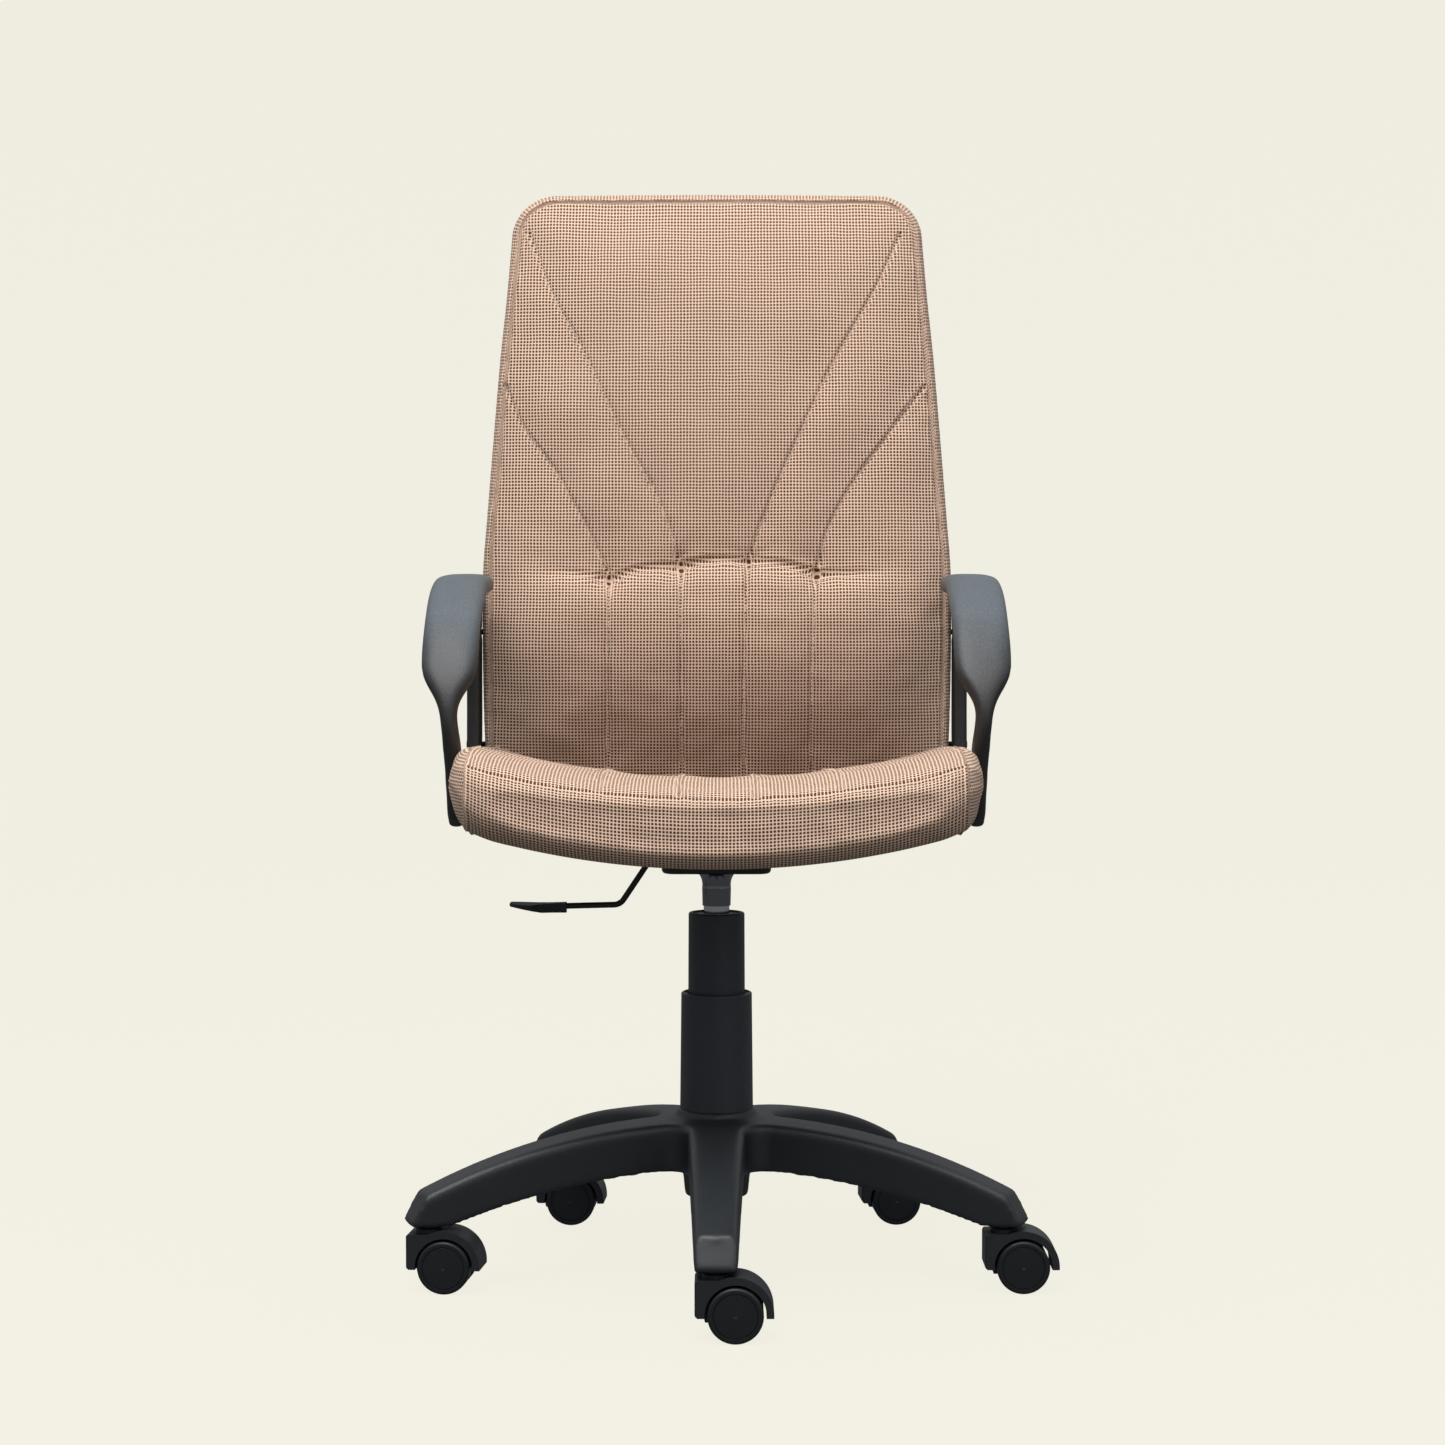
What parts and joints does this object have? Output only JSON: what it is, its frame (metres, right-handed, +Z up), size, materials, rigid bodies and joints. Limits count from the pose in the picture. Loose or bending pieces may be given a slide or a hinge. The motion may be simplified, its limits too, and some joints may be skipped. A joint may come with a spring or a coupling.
{
  "type": "office swivel chair",
  "caption": "High-back fabric office chair with looped armrests, a telescopic gas lift, a star base and twin-wheel casters.",
  "frame": {"origin": "on the floor, on the axis of the gas lift's column", "axes": "+Z up; the sitter faces -Y; +X is towards the sitter's left, and the height lever is at -X"},
  "size_m": [0.6448, 0.6768, 1.115],
  "materials": {
    "black_plastic": "satin, lightly textured moulding",
    "wheel_plastic": "satin",
    "armrest_plastic": "fine-grained satin moulding",
    "steel": "bright plain steel",
    "chrome": "polished",
    "black_steel": "black powder coat",
    "bush_plastic": "natural acetal",
    "rubber": "matte",
    "plywood": "bare plywood",
    "fabric": "tan hopsack weave with dark brown flecks",
    "back_fabric": "tan hopsack weave with dark brown flecks",
    "black_cloth": "thin non-woven black cloth"
  },
  "bodies": {
    "base": {"star_base": "black_plastic", "caster_stems": "steel", "stem_grip_rings": "steel", "stand_tube": "black_steel", "guide_bush": "bush_plastic", "lower_bearing_washer": "steel", "sleeve_lower": "black_plastic"},
    "column_rod": {"piston_rod": "steel", "piston": "bush_plastic", "piston_seal": "rubber", "upper_bearing_washer": "steel", "thrust_balls": "steel", "rubber_bumper": "rubber", "retaining_clip": "steel"},
    "cover_middle": {"sleeve_middle": "black_plastic"},
    "seat": {"gas_cylinder": "chrome", "valve_body": "bush_plastic", "rod_seal_pack": "bush_plastic", "sleeve_upper": "black_plastic", "swivel_plate": "black_steel", "taper_socket": "black_steel", "plate_screws": "steel", "tee_nuts": "steel", "lever_bush": "bush_plastic", "seat_shell": "plywood", "seat_cushion": "fabric", "seat_dust_cover": "black_cloth", "back_shell": "plywood", "back_cushion": "fabric", "back_rear_cover": "back_fabric", "armrest_left": "armrest_plastic", "armrest_right": "armrest_plastic", "arm_seat_bolts": "black_steel", "arm_back_bolts": "black_steel"},
    "lever": {"lever_rod": "black_steel", "lever_pin": "steel", "lever_grip": "black_plastic"},
    "pin": {"release_pin": "steel"},
    "caster_front": {"caster_hood_front": "black_plastic", "caster_axle_front": "steel"},
    "wheel_near_front": {"caster_wheel_near_front": "wheel_plastic"},
    "wheel_far_front": {"caster_wheel_far_front": "wheel_plastic"},
    "caster_front_left": {"caster_hood_front_left": "black_plastic", "caster_axle_front_left": "steel"},
    "wheel_near_front_left": {"caster_wheel_near_front_left": "wheel_plastic"},
    "wheel_far_front_left": {"caster_wheel_far_front_left": "wheel_plastic"},
    "caster_rear_left": {"caster_hood_rear_left": "black_plastic", "caster_axle_rear_left": "steel"},
    "wheel_near_rear_left": {"caster_wheel_near_rear_left": "wheel_plastic"},
    "wheel_far_rear_left": {"caster_wheel_far_rear_left": "wheel_plastic"},
    "caster_rear_right": {"caster_hood_rear_right": "black_plastic", "caster_axle_rear_right": "steel"},
    "wheel_near_rear_right": {"caster_wheel_near_rear_right": "wheel_plastic"},
    "wheel_far_rear_right": {"caster_wheel_far_rear_right": "wheel_plastic"},
    "caster_front_right": {"caster_hood_front_right": "black_plastic", "caster_axle_front_right": "steel"},
    "wheel_near_front_right": {"caster_wheel_near_front_right": "wheel_plastic"},
    "wheel_far_front_right": {"caster_wheel_far_front_right": "wheel_plastic"}
  },
  "joints": [
    {"name": "seat_swivel", "type": "hinge", "parent": "base", "child": "column_rod", "pos_m": [0, 0, 0.07], "axis": [0, 0, 1], "continuous": true},
    {"name": "seat_lift", "type": "slide", "parent": "column_rod", "child": "seat", "axis": [0, 0, 1], "range_m": [-0.03, 0.08]},
    {"name": "cover_slide", "type": "slide", "parent": "base", "child": "cover_middle", "axis": [0, 0, 1], "range_m": [-0.015, 0.04]},
    {"name": "lever_pivot", "type": "hinge", "parent": "seat", "child": "lever", "pos_m": [-0.047, 0, 0.417], "axis": [0, 1, 0], "range_deg": [0, 5], "stiffness_Nm_per_rad": 3, "springref_deg": -14.32},
    {"name": "pin_press", "type": "slide", "parent": "seat", "child": "pin", "axis": [0, 0, -1], "range_m": [0, 0.005]},
    {"name": "front_caster_swivel", "type": "hinge", "parent": "base", "child": "caster_front", "pos_m": [0, -0.297, 0.05], "axis": [0, 0, 1], "continuous": true},
    {"name": "front_near_wheel_spin", "type": "hinge", "parent": "caster_front", "child": "wheel_near_front", "pos_m": [0.018, -0.3135, 0.026], "axis": [0, 1, 0], "continuous": true},
    {"name": "front_far_wheel_spin", "type": "hinge", "parent": "caster_front", "child": "wheel_far_front", "pos_m": [0.018, -0.2805, 0.026], "axis": [0, 1, 0], "continuous": true},
    {"name": "front_left_caster_swivel", "type": "hinge", "parent": "base", "child": "caster_front_left", "pos_m": [0.28246, -0.09178, 0.05], "axis": [0, 0, 1], "continuous": true},
    {"name": "front_left_near_wheel_spin", "type": "hinge", "parent": "caster_front_left", "child": "wheel_near_front_left", "pos_m": [0.30046, -0.10828, 0.026], "axis": [0, 1, 0], "continuous": true},
    {"name": "front_left_far_wheel_spin", "type": "hinge", "parent": "caster_front_left", "child": "wheel_far_front_left", "pos_m": [0.30046, -0.07528, 0.026], "axis": [0, 1, 0], "continuous": true},
    {"name": "rear_left_caster_swivel", "type": "hinge", "parent": "base", "child": "caster_rear_left", "pos_m": [0.17457, 0.24028, 0.05], "axis": [0, 0, 1], "continuous": true},
    {"name": "rear_left_near_wheel_spin", "type": "hinge", "parent": "caster_rear_left", "child": "wheel_near_rear_left", "pos_m": [0.19368, 0.22507, 0.026], "axis": [-0.0698, 0.9976, 0], "continuous": true},
    {"name": "rear_left_far_wheel_spin", "type": "hinge", "parent": "caster_rear_left", "child": "wheel_far_rear_left", "pos_m": [0.19138, 0.25799, 0.026], "axis": [-0.0698, 0.9976, 0], "continuous": true},
    {"name": "rear_right_caster_swivel", "type": "hinge", "parent": "base", "child": "caster_rear_right", "pos_m": [-0.17457, 0.24028, 0.05], "axis": [0, 0, 1], "continuous": true},
    {"name": "rear_right_near_wheel_spin", "type": "hinge", "parent": "caster_rear_right", "child": "wheel_near_rear_right", "pos_m": [-0.15746, 0.22286, 0.026], "axis": [0.0523, 0.9986, 0], "continuous": true},
    {"name": "rear_right_far_wheel_spin", "type": "hinge", "parent": "caster_rear_right", "child": "wheel_far_rear_right", "pos_m": [-0.15573, 0.25581, 0.026], "axis": [0.0523, 0.9986, 0], "continuous": true},
    {"name": "front_right_caster_swivel", "type": "hinge", "parent": "base", "child": "caster_front_right", "pos_m": [-0.28246, -0.09178, 0.05], "axis": [0, 0, 1], "continuous": true},
    {"name": "front_right_near_wheel_spin", "type": "hinge", "parent": "caster_front_right", "child": "wheel_near_front_right", "pos_m": [-0.26629, -0.11007, 0.026], "axis": [0.1045, 0.9945, 0], "continuous": true},
    {"name": "front_right_far_wheel_spin", "type": "hinge", "parent": "caster_front_right", "child": "wheel_far_front_right", "pos_m": [-0.26284, -0.07725, 0.026], "axis": [0.1045, 0.9945, 0], "continuous": true}
  ],
  "couplings": [
    {"joint": "cover_slide", "follows": "seat_lift", "ratio": 0.5},
    {"joint": "pin_press", "follows": "lever_pivot", "m_per_rad": 0.047}
  ]
}
